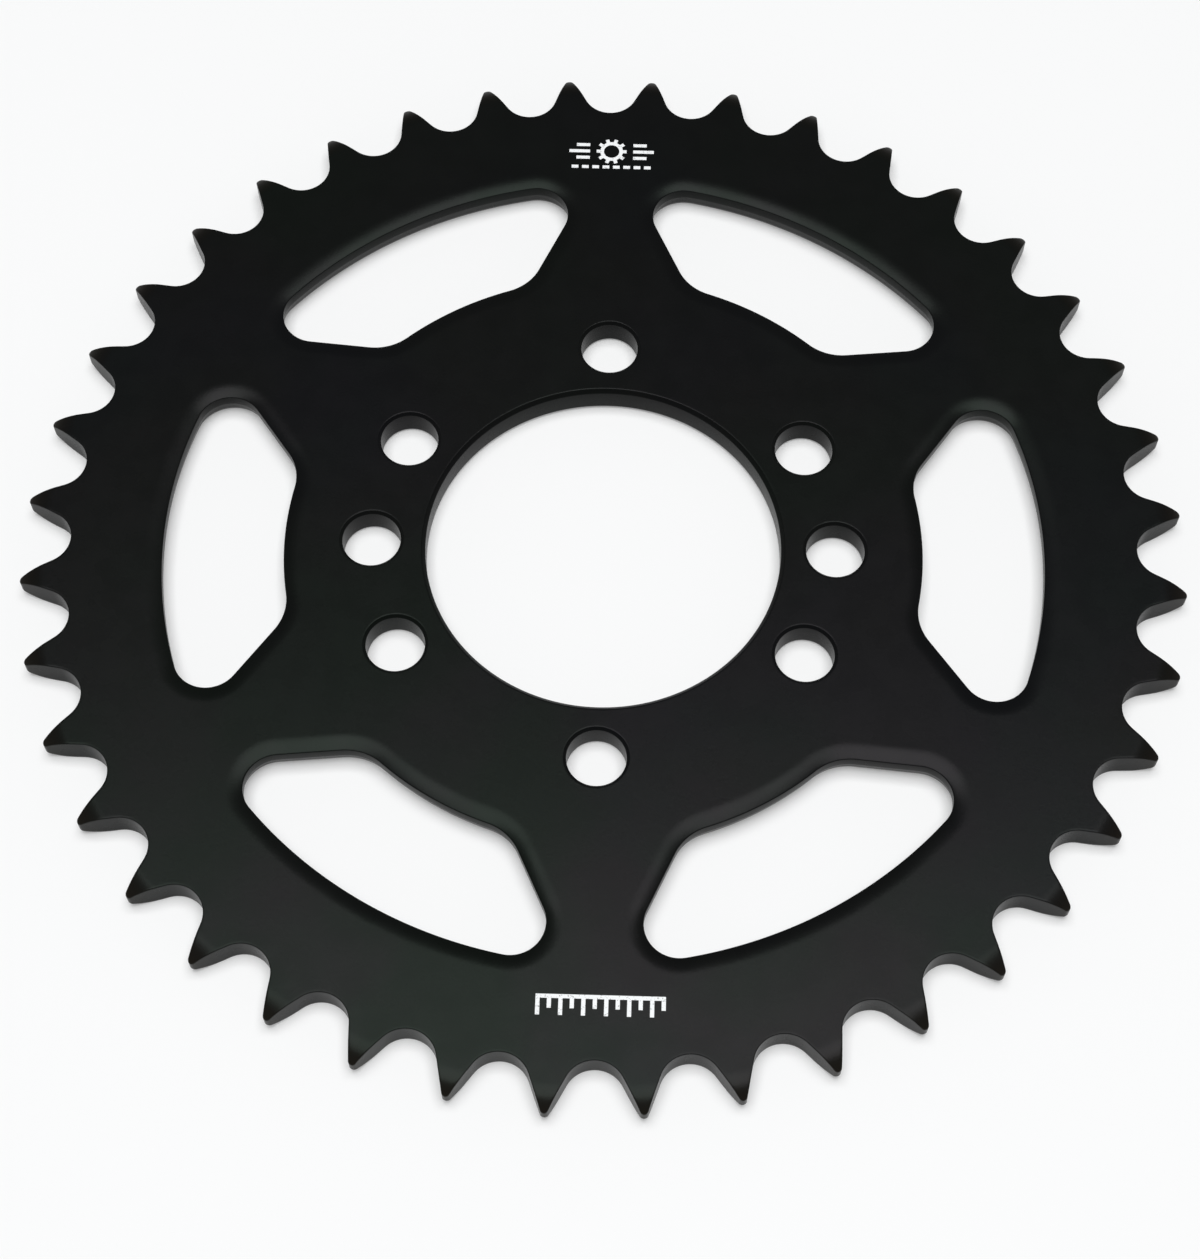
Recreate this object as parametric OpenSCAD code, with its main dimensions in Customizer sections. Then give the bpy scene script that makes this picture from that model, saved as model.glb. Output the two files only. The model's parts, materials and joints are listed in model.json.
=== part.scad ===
// Rear sprocket of a motorcycle's chain drive: one flat steel plate with a chain tooth ring,
// a punched hub bore, bolt holes and lightening windows between its spokes.
// It lies flat. The origin is the centre of the hub bore on the back face, +Z points out of the
// printed face, and +Y runs through a bolt hole towards the upper mark.

/* [Chain] */
// Number of teeth
tooth_count = 40; // [38:1:44]
// Pitch of the chain, from roller to roller
chain_pitch = 15.875; // [15.8:0.005:15.95]
// Diameter of the chain's rollers
roller_d = 10.16; // [10:0.01:10.3]

/* [Teeth] */
// How much wider each seat's radius is than its roller's
seat_play = 0.17; // [0.03:0.01:0.2]
// Angle of the seat arc that a roller rests in
seat_angle = 124; // [120:1:130]
// Height of a tooth tip above the pitch circle
tip_rise = 3.65; // [2.6:0.05:4.2]
// Angle by which the teeth are cut ahead of the bolt holes
tooth_phase = 0.8; // [-4.5:0.1:4.5]
// Depth of the side relief at a tip, on each face
relief_depth = 1.6; // [0.8:0.1:2]
// Radial length of the side relief
relief_len = 4.6; // [3.6:0.1:6]

/* [Plate] */
// Thickness of the plate
plate_t = 5.8; // [5:0.1:7.5]

/* [Hub] */
// Diameter of the hub bore
bore_d = 64; // [56:0.5:66]
// Chamfer of the hub bore, on each face
bore_chamfer = 0.7; // [0.3:0.1:1]
// Diameter of the circle that the bolt holes lie on
bolt_circle_d = 83.5; // [82:0.1:86]
// Diameter of a bolt hole
bolt_hole_d = 10.5; // [8.5:0.1:11]
// Chamfer of a bolt hole, on each face
hole_chamfer = 0.5; // [0.2:0.1:0.8]

/* [Windows] */
// Number of windows, with a spoke between each pair
window_count = 6; // [6:1:6]
// Metal between a bolt hole and the window outside it
hub_land = 10.45; // [9:0.05:12]
// Metal between the windows and the bottoms of the roller seats
rim_w = 16.65; // [15:0.05:19]
// Narrowest width of a spoke
spoke_w = 16.4; // [14:0.1:20]
// Angle by which each side of a spoke flares towards the hub
spoke_flare = 24.5; // [20:0.5:28]
// Radius of a window's rounded ends
end_r = 6; // [5:0.1:7]
// Radius of a window's corners beside the hub
heel_r = 9.3; // [7:0.1:10]
// Angle by which the windows are punched ahead of the bolt holes
window_phase = 0.5; // [-2:0.1:2]

/* [Marks] */
// Thickness of the printed ink
ink_t = 0.08; // [0.05:0.01:0.2]
// Distance of the upper mark's middle from the bore's axis
upper_mark_r = 86.5; // [84:0.5:90]
// Sideways place of the upper mark's middle
upper_mark_x = -0.8; // [-4:0.1:4]
// Distance of the lower mark's middle from the bore's axis
lower_mark_r = 86.6; // [84:0.5:90]
// Sideways place of the lower mark's middle
lower_mark_x = 2; // [-4:0.5:4]
// Height of the lower mark's bars
bar_h = 3.6; // [2:0.1:5]
// Width of the strokes in both marks
stroke_w = 0.7; // [0.4:0.1:1.2]

/* [Hidden] */
$fn = 96;

cut = 1; // how far every cut runs past a face
overlap = 0.002; // how far a line or arc that would just touch an arc reaches into it
past_arc = 1.1; // how far a window's polygon runs past its outer arc, as a share of the radius

// Teeth
tooth_step = 360 / tooth_count;
pitch_r = chain_pitch / (2 * sin(180 / tooth_count));
seat_r = roller_d / 2 + seat_play;
root_r = pitch_r - seat_r;
tip_r = pitch_r + tip_rise;
flank_len = 3 * (tip_r - pitch_r);
relief_r = (pow(relief_len, 2) + pow(relief_depth, 2)) / (2 * relief_depth);

// A hole on each of the six spokes, and two more that make a pattern of four with two of them
hole_angles = concat([for (k = [0 : 5]) 30 + 60 * k], [0, 180]);

// Windows, each drawn about +X and turned into place
half_step = 180 / window_count;
window_in_r = bolt_circle_d / 2 + bolt_hole_d / 2 + hub_land;
window_out_r = root_r - rim_w;
side_dir = polar(1, half_step + spoke_flare);
side_out = polar(1, half_step + spoke_flare + 90);
end_angle = half_step - asin((spoke_w / 2 + end_r) / (window_out_r - end_r));
end_mid = polar(window_out_r - end_r + overlap, end_angle);
side_dist = end_mid * side_out + end_r;
heel_dist = side_dist - heel_r;
heel_reach = window_in_r + heel_r - overlap;
heel_mid = side_out * heel_dist + side_dir * sqrt(pow(heel_reach, 2) - pow(heel_dist, 2));
heel_angle = atan2(heel_mid.y, heel_mid.x);
window_half = [
    polar(window_in_r, heel_angle),
    heel_mid + side_out * (heel_r - overlap),
    end_mid + side_out * (end_r - overlap),
    polar(window_out_r, end_angle),
    polar(window_out_r * past_arc, end_angle)
];

function polar(r, a) = [r * cos(a), r * sin(a)];
function mirrored(points) = [for (i = [len(points) - 1 : -1 : 0]) [points[i].x, -points[i].y]];

// A seat and its two straight flanks, drawn about +X
module roller_gap() {
    half = seat_angle / 2;
    foot = [pitch_r, 0] + (seat_r - overlap) * [-cos(half), sin(half)];
    mouth = foot + flank_len * [sin(half), cos(half)];
    translate([pitch_r, 0]) circle(r = seat_r);
    polygon(concat([foot, mouth], mirrored([foot, mouth])));
}

// Section of the plate, from the axis to the tips, whose faces curve in at the side relief
module blank_section() {
    relief_x = tip_r - relief_len;
    intersection() {
        square([tip_r, plate_t]);
        union() {
            square([relief_x, plate_t]);
            intersection() {
                translate([relief_x, plate_t - relief_r]) circle(r = relief_r);
                translate([relief_x, relief_r]) circle(r = relief_r);
            }
        }
    }
}

// One window's outline: arcs about the axis inside and outside, straight sides, rounded corners
module window_outline() {
    difference() {
        intersection() {
            circle(r = window_out_r);
            union() {
                polygon(concat(window_half, mirrored(window_half)));
                for (side = [-1, 1]) {
                    translate([heel_mid.x, side * heel_mid.y]) circle(r = heel_r);
                    translate([end_mid.x, side * end_mid.y]) circle(r = end_r);
                }
            }
        }
        circle(r = window_in_r);
    }
}

// A round hole through the plate with a chamfer at each face
module chamfered_hole(d, chamfer) {
    translate([0, 0, -cut]) cylinder(d = d, h = plate_t + 2 * cut);
    translate([0, 0, -cut]) cylinder(r1 = d / 2 + chamfer + cut, r2 = d / 2, h = chamfer + cut);
    translate([0, 0, plate_t - chamfer])
        cylinder(r1 = d / 2, r2 = d / 2 + chamfer + cut, h = chamfer + cut);
}

// The steel plate: toothed rim, spokes and hub in one piece
module sprocket_plate() {
    color([0.09, 0.1, 0.1])
    difference() {
        rotate_extrude($fn = 360) blank_section();
        rotate(tooth_phase)
            for (i = [0 : tooth_count - 1])
                rotate(i * tooth_step)
                    translate([0, 0, -cut]) linear_extrude(plate_t + 2 * cut) roller_gap();
        rotate(window_phase)
            for (i = [0 : window_count - 1])
                rotate(i * 2 * half_step)
                    translate([0, 0, -cut]) linear_extrude(plate_t + 2 * cut) window_outline();
        chamfered_hole(bore_d, bore_chamfer);
        for (angle = hole_angles)
            rotate(angle) translate([bolt_circle_d / 2, 0]) chamfered_hole(bolt_hole_d, hole_chamfer);
    }
}

// White print at the top: a small toothed ring between two sets of lines, over a dashed line
module upper_mark() {
    ring_r = 2.2;
    ring_teeth = 10;
    tooth_len = stroke_w * 1.5;
    line_start = ring_r + 2;
    line_len = 4;
    line_gap = 1.5;
    outer_line_cut = 1.4;
    dash_pitch = 2;
    dash_count = 8;
    dash_y = -2 * line_gap - stroke_w * 1.5;
    color("white")
    translate([upper_mark_x, upper_mark_r, plate_t])
    linear_extrude(ink_t) {
        difference() {
            circle(r = ring_r);
            circle(r = ring_r - stroke_w);
        }
        for (i = [0 : ring_teeth - 1])
            rotate(i * 360 / ring_teeth)
                translate([ring_r - stroke_w / 2, -stroke_w / 2]) square([tooth_len, stroke_w]);
        for (side = [0, 180], row = [-1 : 1])
            rotate(side)
                translate([line_start, row * line_gap - stroke_w / 2])
                    square([line_len - abs(row) * outer_line_cut, stroke_w]);
        for (i = [0 : dash_count - 1])
            translate([(i - dash_count / 2) * dash_pitch + stroke_w / 2, dash_y])
                square([dash_pitch - stroke_w, stroke_w]);
    }
}

// White print at the bottom: a row of tall and short ticks on a line, read from the rim
module lower_mark() {
    tick_pitch = 1.9;
    tick_count = 12;
    short_cut = bar_h / 3;
    row_w = (tick_count - 1) * tick_pitch + stroke_w;
    color("white")
    translate([lower_mark_x - row_w / 2, -lower_mark_r - bar_h / 2, plate_t])
    linear_extrude(ink_t) {
        translate([0, bar_h - stroke_w]) square([row_w, stroke_w]);
        for (i = [0 : tick_count - 1])
            translate([i * tick_pitch, i % 2 * short_cut])
                square([stroke_w, bar_h - i % 2 * short_cut]);
    }
}

sprocket_plate();
upper_mark();
lower_mark();
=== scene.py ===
"""Looks of a motorcycle's rear sprocket: a punched and milled steel plate under a satin black coating,
with two small white prints, lying on a pale studio floor.

The plate is built again as one closed mesh, because the punched edges of its windows, its softened
edges and its rounded tooth tips are too fine for the CAD solid. It keeps that solid's outline.
"""

import json
import math

import bmesh
import bpy
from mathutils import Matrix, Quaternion, Vector
from mathutils.geometry import delaunay_2d_cdt


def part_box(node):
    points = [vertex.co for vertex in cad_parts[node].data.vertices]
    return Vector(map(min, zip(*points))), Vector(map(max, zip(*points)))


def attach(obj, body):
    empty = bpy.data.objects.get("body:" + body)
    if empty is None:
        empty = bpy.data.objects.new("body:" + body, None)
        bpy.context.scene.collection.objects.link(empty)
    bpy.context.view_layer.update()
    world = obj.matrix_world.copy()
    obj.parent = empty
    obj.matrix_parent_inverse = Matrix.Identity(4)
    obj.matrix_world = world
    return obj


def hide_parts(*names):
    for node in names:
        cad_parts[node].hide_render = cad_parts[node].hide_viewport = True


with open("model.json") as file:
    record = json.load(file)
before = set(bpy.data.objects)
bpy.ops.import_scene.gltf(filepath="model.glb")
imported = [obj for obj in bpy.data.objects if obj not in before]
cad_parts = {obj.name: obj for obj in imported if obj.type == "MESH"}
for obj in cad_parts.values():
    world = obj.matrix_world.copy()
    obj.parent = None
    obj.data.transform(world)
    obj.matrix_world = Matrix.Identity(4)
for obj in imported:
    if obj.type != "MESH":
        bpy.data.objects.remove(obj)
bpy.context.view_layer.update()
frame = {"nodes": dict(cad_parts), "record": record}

MM = 0.001

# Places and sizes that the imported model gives
mounts = {mount["name"]: mount for mount in frame["record"]["mounts"]}
plate_low, plate_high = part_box("sprocket_plate")
plate_t = plate_high.z - plate_low.z
bore_r = mounts["hub_bore"]["dims"]["r_mm"] * MM
bolt_circle_r = mounts["carrier_bolts_upright"]["dims"]["spacing_y_mm"] / 2 * MM
bolt_hole_r = mounts["carrier_bolts_upright"]["dims"]["hole_r_mm"] * MM
seat_bottom = Vector(mounts["roller_seat"]["pos_m"][:2])

# Teeth, as in the CAD. Angles here and below are in degrees
TOOTH_COUNT = 40
CHAIN_PITCH = 15.875 * MM
SEAT_HALF_ANGLE = 62
TIP_RISE = 3.65 * MM
RELIEF_DEPTH = 1.6 * MM
RELIEF_LEN = 4.6 * MM

# Holes and windows, as in the CAD
BORE_CHAMFER = 0.7 * MM
HOLE_CHAMFER = 0.5 * MM
HOLE_ANGLES = [30, 90, 150, 210, 270, 330, 0, 180]
WINDOW_COUNT = 6
HUB_LAND = 10.45 * MM
RIM_W = 16.65 * MM
SPOKE_W = 16.4 * MM
SPOKE_FLARE = 24.5
END_R = 6 * MM
HEEL_R = 9.3 * MM
WINDOW_PHASE = 0.5

# Edges that only this model has. Below the dip, a window's wall is a straight land, a slanted fracture
# and a rounded back edge, each further into the metal than the one above
TOOTH_TOP_EDGE = 0.16 * MM
TOOTH_BOTTOM_EDGE = 0.3 * MM
HOLE_EDGE = 0.12 * MM
DIP_W = 3.1 * MM
DIP_DEPTH = 0.5 * MM
LAND_DEPTH = 2.6 * MM
FRACTURE_DEPTH = 4.8 * MM
FRACTURE_OUT = 0.55 * MM
BACK_OUT = 1.0 * MM
MARGIN = 0.3 * MM

# How finely curves are divided
SEAT_STEPS = 11
FLANK_STEPS = 11
NOSE_STEPS = 6
TOOTH_COLUMNS = 6
EDGE_STEPS = 3
DIP_STEPS = 12
BORE_STEPS = 288
HOLE_STEPS = 96
OUTER_ARC_STEPS = 60
END_STEPS = 26
SIDE_STEPS = 8
HEEL_STEPS = 14
INNER_ARC_STEPS = 26
SHARP_ANGLE = 50

# How a flat face is filled: with triangles inside its outlines only, taking points this near, in mm, as one
FILL_INSIDE = 1
FILL_EPSILON = 1e-6

AXIS = Vector((0, 0))


def polar(radius, degrees):
    """A point at a radius and an angle about the axis."""
    angle = math.radians(degrees)
    return Vector((radius * math.cos(angle), radius * math.sin(angle)))


def turned(point, degrees):
    """A point turned about the axis."""
    angle = math.radians(degrees)
    along = Vector((math.cos(angle), math.sin(angle)))
    across = Vector((-math.sin(angle), math.cos(angle)))
    return along * point.x + across * point.y


def mirrored(points):
    """Points mirrored across the X axis, in reverse order."""
    return [Vector((p.x, -p.y)) for p in reversed(points)]


def angle_of(point):
    return math.degrees(math.atan2(point.y, point.x))


def arc(middle, radius, start, end, steps):
    """Points along an arc, without its last one."""
    return [middle + polar(radius, start + (end - start) * i / steps) for i in range(steps)]


def reach(start, direction, radius):
    """How far it is from start, along direction, to a circle about the axis."""
    along = start.dot(direction)
    return -along + math.sqrt(along**2 - start.length_squared + radius**2)


# ---- Tooth outline

tooth_step = 360 / TOOTH_COUNT
tooth_phase = angle_of(seat_bottom)
pitch_r = CHAIN_PITCH / (2 * math.sin(math.pi / TOOTH_COUNT))
seat_r = pitch_r - seat_bottom.length
tip_r = pitch_r + TIP_RISE
relief_from = tip_r - RELIEF_LEN
relief_arc_r = (RELIEF_LEN**2 + RELIEF_DEPTH**2) / (2 * RELIEF_DEPTH)

seat_mid = Vector((pitch_r, 0))
flank_dir = polar(1, 90 - SEAT_HALF_ANGLE)


def flank_foot(offset):
    """Where a flank leaves its seat's arc, on the outline pushed into the metal by offset."""
    return seat_mid + polar(seat_r + offset, 180 - SEAT_HALF_ANGLE)


# The nose is one arc about a point on the tooth's middle line, as far inside each flank as inside the tip
into_tooth = polar(1, 180 - SEAT_HALF_ANGLE)
nose_lean = polar(1, tooth_step / 2).dot(into_tooth)
nose_r = (tip_r * nose_lean - flank_foot(0).dot(into_tooth)) / (1 + nose_lean)
nose_mid = polar(tip_r - nose_r, tooth_step / 2)
flank_end = reach(flank_foot(nose_r), flank_dir, nose_mid.length)
relief_stop = reach(flank_foot(0), flank_dir, relief_from)
flank_stops = [0, relief_stop - MARGIN]
flank_stops += [relief_stop + (flank_end - relief_stop) * i / FLANK_STEPS for i in range(FLANK_STEPS)]

# Half a gap's points run from the seat's middle to the tip's middle. The rows of quads over a tooth
# start just before its relief
half_len = SEAT_STEPS + len(flank_stops) + NOSE_STEPS + 1
first_row = SEAT_STEPS + 1
gap_len = 2 * (half_len - 1)


def tooth_half(offset):
    """Half a gap's outline about +X, pushed into the metal by offset: seat, flank and half a nose."""
    foot = flank_foot(offset)
    points = arc(seat_mid, seat_r + offset, 180, 180 - SEAT_HALF_ANGLE, SEAT_STEPS)
    points += [foot + flank_dir * stop for stop in flank_stops]
    points += arc(nose_mid, nose_r - offset, -SEAT_HALF_ANGLE, tooth_step / 2, NOSE_STEPS)
    points.append(polar(tip_r - offset, tooth_step / 2))
    return points


def tooth_ring(offset):
    """The whole toothed outline, anticlockwise, gap by gap from the middle of the tip before each."""
    half = tooth_half(offset)
    gap = mirrored(half[1:]) + half[:-1]
    return [turned(p, tooth_phase + k * tooth_step) for k in range(TOOTH_COUNT) for p in gap]


def relief_drop(point):
    """How far the side relief has brought a face in at a point."""
    beyond = max(0, point.length - relief_from)
    return relief_arc_r - math.sqrt(relief_arc_r**2 - beyond**2)


# ---- Window outline, about +X

half_step = 180 / WINDOW_COUNT
window_in_r = bolt_circle_r + bolt_hole_r + HUB_LAND
window_out_r = seat_bottom.length - RIM_W
side_normal = half_step + SPOKE_FLARE + 90
side_out = polar(1, side_normal)
side_dir = polar(1, side_normal - 90)
end_angle = half_step - math.degrees(math.asin((SPOKE_W / 2 + END_R) / (window_out_r - END_R)))
end_mid = polar(window_out_r - END_R, end_angle)
heel_dist = end_mid.dot(side_out) + END_R - HEEL_R
heel_along = math.sqrt((window_in_r + HEEL_R) ** 2 - heel_dist**2)
heel_mid = side_out * heel_dist + side_dir * heel_along


def window_ring(offset, turn):
    """A window's outline pushed into the metal by offset, anticlockwise from the middle of its outer arc."""
    heel_angle = angle_of(heel_mid)
    side_start = end_mid + side_out * (END_R + offset)
    side_end = heel_mid + side_out * (HEEL_R + offset)
    half = arc(AXIS, window_out_r + offset, 0, end_angle, OUTER_ARC_STEPS // 2)
    half += arc(end_mid, END_R + offset, end_angle, side_normal, END_STEPS)
    half += [side_start.lerp(side_end, i / SIDE_STEPS) for i in range(SIDE_STEPS)]
    half += arc(heel_mid, HEEL_R + offset, side_normal, 180 + heel_angle, HEEL_STEPS)
    half += arc(AXIS, window_in_r - offset, heel_angle, 0, INNER_ARC_STEPS // 2)
    half.append(polar(window_in_r - offset, 0))
    return [turned(p, turn) for p in half + mirrored(half[1:-1])]


# ---- Edge profiles: pairs of an offset into the metal and a height, from the top face to the back

def eased(corners, radius):
    """A profile whose inner corners are rounded over a length of radius on each side."""
    points = [corners[0]]
    for before, corner, after in zip(corners, corners[1:], corners[2:]):
        start = corner + (before - corner).normalized() * radius
        end = corner + (after - corner).normalized() * radius
        for i in range(EDGE_STEPS + 1):
            t = i / EDGE_STEPS
            points.append(start.lerp(corner, t).lerp(corner.lerp(end, t), t))
    points.append(corners[-1])
    return points


def hole_profile(chamfer):
    """A round hole's chamfer at each face, with its edges a little softened."""
    corners = [(chamfer + MARGIN, plate_t), (chamfer, plate_t), (0, plate_t - chamfer)]
    corners += [(0, chamfer), (chamfer, 0), (chamfer + MARGIN, 0)]
    return eased([Vector(c) for c in corners], HOLE_EDGE)


def window_profile():
    """A punched edge: the face dips in, a straight land, a slanted fracture, and a rounded back edge."""
    points = [Vector((DIP_W + MARGIN, plate_t))]
    for i in range(DIP_STEPS):
        along = i / DIP_STEPS
        points.append(Vector((DIP_W * (1 - along), plate_t - DIP_DEPTH * along**2)))
    corners = [points.pop(), (0, plate_t - DIP_DEPTH), (0, plate_t - LAND_DEPTH)]
    corners += [(FRACTURE_OUT, plate_t - FRACTURE_DEPTH), (BACK_OUT, 0), (BACK_OUT + MARGIN, 0)]
    return points + eased([Vector(c) for c in corners], HOLE_EDGE)


# ---- Plate mesh

def add_ring(bm, points, height):
    """Vertices at a ring's points; height gives each one's z."""
    return [bm.verts.new((p.x, p.y, height(p))) for p in points]


def join_rings(bm, rings):
    """Walls of quads from each ring to the next."""
    for upper, lower in zip(rings, rings[1:]):
        for i in range(len(upper)):
            bm.faces.new((upper[i - 1], lower[i - 1], lower[i], upper[i]))


def add_hole(bm, ring_at, profile):
    """The wall of a hole whose outline is ring_at(offset). Returns its rings at the top and the back."""
    rings = [add_ring(bm, ring_at(p.x), lambda _, z=p.y: z) for p in profile]
    join_rings(bm, rings)
    return rings[0], rings[-1]


def top_height(point):
    return plate_t - relief_drop(point)


def add_teeth(bm):
    """The teeth's wall, rounded at both edges. Returns its rings at the top face and the back."""
    def edge(radius):
        corners = [Vector((radius + MARGIN, 0)), Vector((0, 0)), Vector((0, radius + MARGIN))]
        return eased(corners, radius)

    rings = []
    for p in edge(TOOTH_TOP_EDGE):
        rings.append(add_ring(bm, tooth_ring(p.x), lambda q, drop=p.y: top_height(q) - drop))
    for p in reversed(edge(TOOTH_BOTTOM_EDGE)):
        rings.append(add_ring(bm, tooth_ring(p.x), lambda q, rise=p.y: relief_drop(q) + rise))
    join_rings(bm, rings)
    return rings[0], rings[-1]


def add_tooth_face(bm, rim, k, height):
    """Rows of quads over one tooth's relief. Returns the inner vertices of the first row."""
    gap, next_gap = k * gap_len, (k + 1) % TOOTH_COUNT * gap_len
    rows = []
    for j in range(first_row, half_len - 1):
        low, high = rim[gap + half_len - 1 + j], rim[next_gap + half_len - 1 - j]
        between = [low.co.lerp(high.co, c / TOOTH_COLUMNS).xy for c in range(1, TOOTH_COLUMNS)]
        rows.append([low] + add_ring(bm, between, height) + [high])
    for row, beyond in zip(rows, rows[1:]):
        for c in range(TOOTH_COLUMNS):
            bm.faces.new((row[c], row[c + 1], beyond[c + 1], beyond[c]))
    for c in range(TOOTH_COLUMNS):
        bm.faces.new((rows[-1][c], rows[-1][c + 1], rim[next_gap]))
    return rows[0][1:-1]


def add_face(bm, rim, holes, height):
    """One face of the plate: rows over each tooth, and triangles between the gaps and the holes' rings."""
    border = []
    for k in range(TOOTH_COUNT):
        middle = k * gap_len + half_len - 1
        border += rim[middle - first_row:middle + first_row + 1]
        border += add_tooth_face(bm, rim, k, height)
    loops = [border] + holes
    corners = [vert for loop in loops for vert in loop]
    starts = [sum(len(loop) for loop in loops[:i]) for i in range(len(loops))]
    outlines = [list(range(start, start + len(loop))) for start, loop in zip(starts, loops)]
    flat = [vert.co.xy / MM for vert in corners]
    _, _, faces, origins, _, inside = delaunay_2d_cdt(flat, [], outlines, FILL_INSIDE, FILL_EPSILON)
    for face, within in zip(faces, inside):
        if list(within) == [0]:
            bm.faces.new([corners[origins[v][0]] for v in face])


def make_plate():
    """The whole plate as one closed mesh."""
    bm = bmesh.new()
    bore_ring = lambda d: arc(AXIS, bore_r + d, 0, 360, BORE_STEPS)
    holes = [add_hole(bm, bore_ring, hole_profile(BORE_CHAMFER))]
    for angle in HOLE_ANGLES:
        middle = polar(bolt_circle_r, angle)
        ring_at = lambda d, m=middle: arc(m, bolt_hole_r + d, 0, 360, HOLE_STEPS)
        holes.append(add_hole(bm, ring_at, hole_profile(HOLE_CHAMFER)))
    for k in range(WINDOW_COUNT):
        turn = WINDOW_PHASE + k * 2 * half_step
        holes.append(add_hole(bm, lambda d, a=turn: window_ring(d, a), window_profile()))
    top_rim, back_rim = add_teeth(bm)
    add_face(bm, top_rim, [top for top, _ in holes], top_height)
    add_face(bm, back_rim, [back for _, back in holes], relief_drop)
    bmesh.ops.recalc_face_normals(bm, faces=bm.faces)
    mesh = bpy.data.meshes.new("plate")
    bm.to_mesh(mesh)
    bm.free()
    mesh.shade_smooth()
    mesh.set_sharp_from_angle(angle=math.radians(SHARP_ANGLE))
    plate = bpy.data.objects.new("coated_plate", mesh)
    bpy.context.scene.collection.objects.link(plate)
    return plate


# ---- Materials: sizes of noise, and stops that pair a place on it with a colour

# The black coating: broad tints, a sheen, patches of roughness, and grain
TINT_SIZE = 55 * MM
GREENISH = (0.0044, 0.0055, 0.0047)
NEUTRAL = (0.0048, 0.0051, 0.0050)
BLUISH = (0.0046, 0.0049, 0.0055)
TINT_STOPS = [(0.35, GREENISH), (0.5, NEUTRAL), (0.65, BLUISH)]
TIP_COLOR = (0.0105, 0.0090, 0.0072, 1)
SHEEN_SIZE = 38 * MM
SHEEN_DETAIL = 9
SHEEN_STOPS = [(0.4, (0.80, 1.0, 0.86)), (0.5, (0.93, 1.0, 0.96)), (0.6, (1.0, 0.95, 1.0))]
COATING_SPECULAR = 0.074
PATCH_SIZE = 6 * MM
PATCH_DETAIL = 4
PATCH_RANGE = (0.3, 0.7)
COATING_ROUGHNESS = (0.25, 0.30)
GRAIN_SIZE = 0.35 * MM
GRAIN_DETAIL = 3
GRAIN_STRENGTH = 0.5
GRAIN_HEIGHT = 0.02 * MM

# The white ink: pinholes and a finer grain
PINHOLE_SIZE = 0.3 * MM
PINHOLE_DETAIL = 3
PINHOLE_STOPS = [(0.3, (0.25, 0.26, 0.26)), (0.42, (0.83, 0.85, 0.86))]
INK_ROUGHNESS = 0.6
INK_GRAIN_SIZE = 0.2 * MM
INK_GRAIN_STRENGTH = 0.2
INK_GRAIN_HEIGHT = 0.01 * MM

# The floor: faint clouds, and a glow
CLOUD_SIZE = 400 * MM
CLOUD_STOPS = [(0.3, (0.615, 0.62, 0.622)), (0.7, (0.635, 0.64, 0.642))]
FLOOR_ROUGHNESS = 0.8
GLOW_COLOR = (1, 1, 1, 1)
GLOW_STRENGTH = 0.25


class Nodes:
    """A material's node tree, with short calls to add nodes and to link them."""

    def __init__(self, name):
        self.material = bpy.data.materials.new(name)
        self.material.use_nodes = True
        self.tree = self.material.node_tree
        self.shader = self.tree.nodes["Principled BSDF"]
        self.place = self.add("ShaderNodeTexCoord").outputs["Object"]

    def add(self, kind, inputs=None, **settings):
        node = self.tree.nodes.new(kind)
        for key, value in settings.items():
            setattr(node, key, value)
        for key, value in (inputs or {}).items():
            self.feed(value, node.inputs[key])
        return node

    def feed(self, value, socket):
        if isinstance(value, bpy.types.NodeSocket):
            self.tree.links.new(value, socket)
        else:
            socket.default_value = value

    def noise(self, size, detail=2.0):
        """Noise about size metres across."""
        inputs = {"Vector": self.place, "Scale": 1 / size, "Detail": detail}
        return self.add("ShaderNodeTexNoise", inputs).outputs["Fac"]

    def ramp(self, value, stops):
        node = self.add("ShaderNodeValToRGB", {"Fac": value})
        elements = node.color_ramp.elements
        while len(elements) < len(stops):
            elements.new(1)
        for element, (position, color) in zip(elements, stops):
            element.position = position
            element.color = (*color, 1)
        return node.outputs["Color"]

    def spread(self, value, low, high, to_low, to_high):
        inputs = {"Value": value, "From Min": low, "From Max": high, "To Min": to_low, "To Max": to_high}
        return self.add("ShaderNodeMapRange", inputs).outputs["Result"]

    def mix(self, share, first, second):
        """Two colours mixed. The node repeats each socket's name for every type of data."""
        node = self.add("ShaderNodeMix", data_type="RGBA")
        inputs = {("Factor", "VALUE"): share, ("A", "RGBA"): first, ("B", "RGBA"): second}
        for key, value in inputs.items():
            self.feed(value, next(s for s in node.inputs if (s.name, s.type) == key))
        return next(s for s in node.outputs if s.type == "RGBA")

    def bump(self, height, strength, distance):
        inputs = {"Height": height, "Strength": strength, "Distance": distance}
        return self.add("ShaderNodeBump", inputs).outputs["Normal"]


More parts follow.
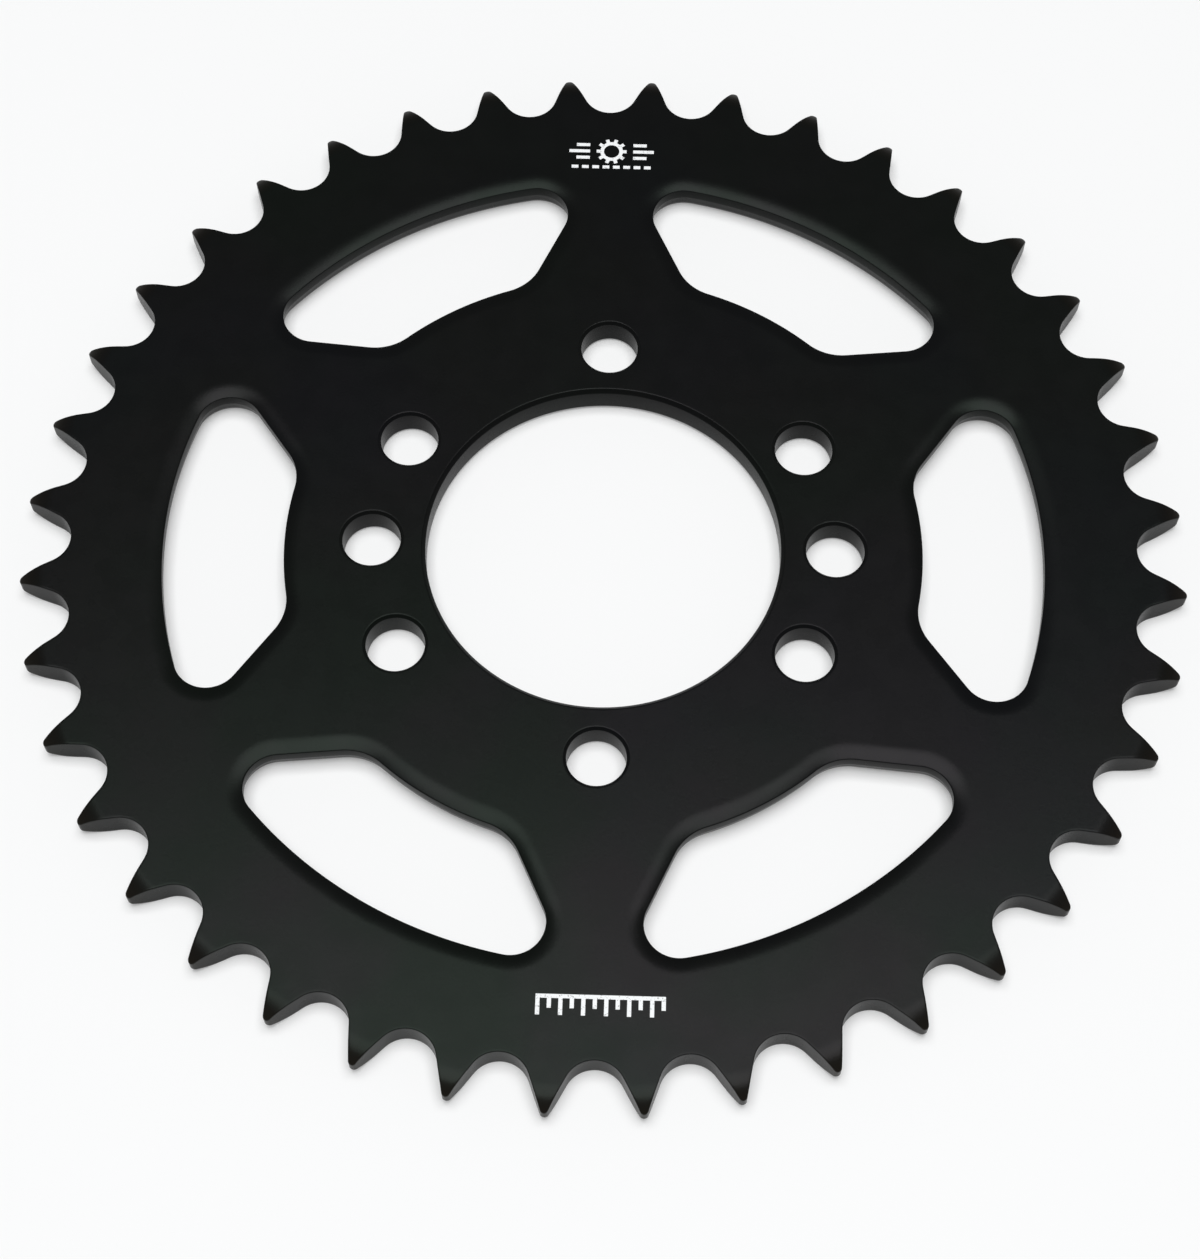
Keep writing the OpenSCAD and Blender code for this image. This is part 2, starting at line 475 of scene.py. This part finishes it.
def black_coating():
    """Satin black coating on steel: fine grain, a faint green sheen in places, and warmer tooth tips."""
    nodes = Nodes("black_coating")
    tints = nodes.ramp(nodes.noise(TINT_SIZE), TINT_STOPS)
    flattened = nodes.add("ShaderNodeVectorMath", {0: nodes.place, 1: (1, 1, 0)}, operation="MULTIPLY")
    radius = nodes.add("ShaderNodeVectorMath", {0: flattened.outputs["Vector"]}, operation="LENGTH")
    at_tips = nodes.spread(radius.outputs["Value"], relief_from, tip_r, 0, 1)
    nodes.feed(nodes.mix(at_tips, tints, TIP_COLOR), nodes.shader.inputs["Base Color"])
    sheen = nodes.ramp(nodes.noise(SHEEN_SIZE, SHEEN_DETAIL), SHEEN_STOPS)
    nodes.feed(sheen, nodes.shader.inputs["Specular Tint"])
    nodes.shader.inputs["Specular IOR Level"].default_value = COATING_SPECULAR
    roughness = nodes.spread(nodes.noise(PATCH_SIZE, PATCH_DETAIL), *PATCH_RANGE, *COATING_ROUGHNESS)
    nodes.feed(roughness, nodes.shader.inputs["Roughness"])
    grain = nodes.bump(nodes.noise(GRAIN_SIZE, GRAIN_DETAIL), GRAIN_STRENGTH, GRAIN_HEIGHT)
    nodes.feed(grain, nodes.shader.inputs["Normal"])
    return nodes.material


def white_ink():
    """Thin matt white print with fine pinholes where the black shows through."""
    nodes = Nodes("white_ink")
    pinholes = nodes.ramp(nodes.noise(PINHOLE_SIZE, PINHOLE_DETAIL), PINHOLE_STOPS)
    nodes.feed(pinholes, nodes.shader.inputs["Base Color"])
    nodes.shader.inputs["Roughness"].default_value = INK_ROUGHNESS
    grain = nodes.bump(nodes.noise(INK_GRAIN_SIZE), INK_GRAIN_STRENGTH, INK_GRAIN_HEIGHT)
    nodes.feed(grain, nodes.shader.inputs["Normal"])
    return nodes.material


def pale_floor():
    """Plain matt white acrylic. Its glow stands in for light from below, which keeps the shadows faint."""
    nodes = Nodes("pale_floor")
    nodes.feed(nodes.ramp(nodes.noise(CLOUD_SIZE), CLOUD_STOPS), nodes.shader.inputs["Base Color"])
    nodes.shader.inputs["Roughness"].default_value = FLOOR_ROUGHNESS
    nodes.shader.inputs["Emission Color"].default_value = GLOW_COLOR
    nodes.shader.inputs["Emission Strength"].default_value = GLOW_STRENGTH
    return nodes.material


# ---- Stage, in metres, degrees and watts, with the sensor and the lens in millimetres

FLOOR_SIZE = 8
FLOOR_GAP = 0.05 * MM
CAMERA_AIM = Vector((-0.08, -17.2, 5.8)) * MM
CAMERA_DISTANCE = 468.8 * MM
CAMERA_AZIMUTH = 1.73
CAMERA_ELEVATION = 63.59
CAMERA_ROLL = -0.09
SENSOR = 36
LENS = 75.76
KEY_SIZE = 1.97
KEY_AT = Vector((0, -0.062, 2.6))
KEY_POWER = 81.5
SKY = (0.05, 0.051, 0.052)
HORIZON = (0.6, 0.6, 0.6)
HORIZON_TOP = 0.5


def make_floor():
    bm = bmesh.new()
    bmesh.ops.create_grid(bm, x_segments=1, y_segments=1, size=FLOOR_SIZE / 2)
    mesh = bpy.data.meshes.new("floor")
    bm.to_mesh(mesh)
    bm.free()
    floor = bpy.data.objects.new("floor", mesh)
    floor.location.z = plate_low.z - FLOOR_GAP
    floor.data.materials.append(pale_floor())
    bpy.context.scene.collection.objects.link(floor)


def make_camera():
    """A camera looking down at the plate, standing CAMERA_AZIMUTH from -Y towards +X."""
    azimuth, elevation = math.radians(CAMERA_AZIMUTH), math.radians(CAMERA_ELEVATION)
    level = Vector((math.sin(azimuth), -math.cos(azimuth), 0))
    back = level * math.cos(elevation) + Vector((0, 0, math.sin(elevation)))
    data = bpy.data.cameras.new("camera")
    data.sensor_width = SENSOR
    data.lens = LENS
    camera = bpy.data.objects.new("camera", data)
    camera.rotation_mode = "QUATERNION"
    camera.location = CAMERA_AIM + back * CAMERA_DISTANCE
    roll = Quaternion((0, 0, 1), math.radians(CAMERA_ROLL))
    camera.rotation_quaternion = (-back).to_track_quat("-Z", "Y") @ roll
    bpy.context.scene.collection.objects.link(camera)
    bpy.context.scene.camera = camera


def make_key_light():
    """A large level softbox overhead."""
    data = bpy.data.lights.new("key", "AREA")
    data.size = KEY_SIZE
    data.energy = KEY_POWER
    light = bpy.data.objects.new("key", data)
    light.location = KEY_AT
    bpy.context.scene.collection.objects.link(light)


def make_sky():
    """Dim light from all round, brighter towards the horizon."""
    world = bpy.data.worlds.new("studio")
    world.use_nodes = True
    tree = world.node_tree
    place = tree.nodes.new("ShaderNodeTexCoord")
    split = tree.nodes.new("ShaderNodeSeparateXYZ")
    ramp = tree.nodes.new("ShaderNodeValToRGB")
    low, high = ramp.color_ramp.elements
    low.color = (*HORIZON, 1)
    high.color = (*SKY, 1)
    high.position = HORIZON_TOP
    tree.links.new(place.outputs["Generated"], split.inputs["Vector"])
    tree.links.new(split.outputs["Z"], ramp.inputs["Fac"])
    tree.links.new(ramp.outputs["Color"], tree.nodes["Background"].inputs["Color"])
    bpy.context.scene.world = world


# ---- The object

plate = make_plate()
plate.data.materials.append(black_coating())
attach(plate, "root")
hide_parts("sprocket_plate")

ink = white_ink()
for name in ("upper_mark", "lower_mark"):
    mark = frame["nodes"][name]
    mark.data.materials.clear()
    mark.data.materials.append(ink)

make_floor()
make_camera()
make_key_light()
make_sky()
bpy.context.scene.view_settings.view_transform = "Standard"
